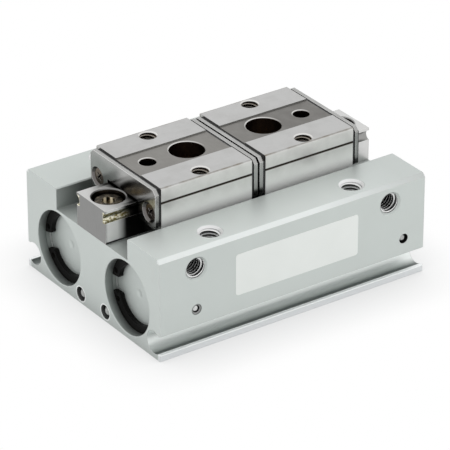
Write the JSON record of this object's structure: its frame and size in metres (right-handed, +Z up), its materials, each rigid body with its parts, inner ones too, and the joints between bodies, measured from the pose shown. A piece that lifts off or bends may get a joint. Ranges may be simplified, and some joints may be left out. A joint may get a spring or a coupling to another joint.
{
  "type": "parallel gripper",
  "caption": "Low-profile air-driven parallel gripper whose rail-guided fingers slide apart in step over a ported aluminium block with side sensor grooves.",
  "frame": {"origin": "centre of the flat mounting face under the block", "axes": "+X along the finger travel, towards the right finger; +Y across the block, away from the side with the air ports; +Z up, from the mounting face to the fingers"},
  "size_m": [0.075, 0.056, 0.035],
  "materials": {
    "anodised_aluminium": "satin anodised, pale green-grey",
    "piston_aluminium": "turned and plain anodised",
    "ground_steel": "ground, bright",
    "polished_plate": "polished stainless sheet",
    "rail_steel": "hardened and ground",
    "black_ring": "black phosphated spring steel",
    "rubber_seal": "matt black nitrile rubber",
    "black_resin": "moulded black resin with a wiper lip",
    "bearing_steel": "polished bearing steel",
    "magnet": "sintered, dark grey",
    "screw_steel": "bright screw steel",
    "joint_steel": "hardened, ground",
    "gear_steel": "hardened, machined"
  },
  "bodies": {
    "body": {"body": "anodised_aluminium", "guide_rail": "rail_steel", "rail_screws": "screw_steel", "plug_balls": "bearing_steel", "pinion_pin": "gear_steel", "near_left_cap": "anodised_aluminium", "near_left_gasket": "rubber_seal", "near_left_retaining_ring": "black_ring", "near_right_cap": "anodised_aluminium", "near_right_gasket": "rubber_seal", "near_right_retaining_ring": "black_ring", "far_left_cap": "anodised_aluminium", "far_left_gasket": "rubber_seal", "far_left_retaining_ring": "black_ring", "far_right_cap": "anodised_aluminium", "far_right_gasket": "rubber_seal", "far_right_retaining_ring": "black_ring"},
    "left_finger": {"left_bearing_balls": "bearing_steel", "left_end_plate_screws": "screw_steel", "left_finger": "ground_steel", "left_inner_end_plate": "polished_plate", "left_inner_end_seal": "black_resin", "left_inner_piston_seal": "rubber_seal", "left_joint": "joint_steel", "left_joint_rollers": "gear_steel", "left_magnet": "magnet", "left_outer_end_plate": "polished_plate", "left_outer_end_seal": "black_resin", "left_outer_piston_seal": "rubber_seal", "left_piston": "piston_aluminium", "left_rack": "gear_steel", "left_rack_pins": "gear_steel", "left_roller_stopper": "gear_steel"},
    "right_finger": {"right_bearing_balls": "bearing_steel", "right_end_plate_screws": "screw_steel", "right_finger": "ground_steel", "right_inner_end_plate": "polished_plate", "right_inner_end_seal": "black_resin", "right_inner_piston_seal": "rubber_seal", "right_joint": "joint_steel", "right_joint_rollers": "gear_steel", "right_magnet": "magnet", "right_outer_end_plate": "polished_plate", "right_outer_end_seal": "black_resin", "right_outer_piston_seal": "rubber_seal", "right_piston": "piston_aluminium", "right_rack": "gear_steel", "right_rack_pins": "gear_steel", "right_roller_stopper": "gear_steel"},
    "pinion": {"pinion": "gear_steel"}
  },
  "joints": [
    {"name": "left_finger_slide", "type": "slide", "parent": "body", "child": "left_finger", "axis": [-1, 0, 0], "range_m": [0, 0.008]},
    {"name": "right_finger_slide", "type": "slide", "parent": "body", "child": "right_finger", "axis": [1, 0, 0], "range_m": [0, 0.008]},
    {"name": "pinion_turn", "type": "hinge", "parent": "body", "child": "pinion", "pos_m": [0, 0, 0.0105], "axis": [0, 0, -1], "range_deg": [0, 61.2]}
  ],
  "couplings": [
    {"joint": "right_finger_slide", "follows": "left_finger_slide", "ratio": 1},
    {"joint": "pinion_turn", "follows": "left_finger_slide", "rad_per_m": 133.33}
  ]
}
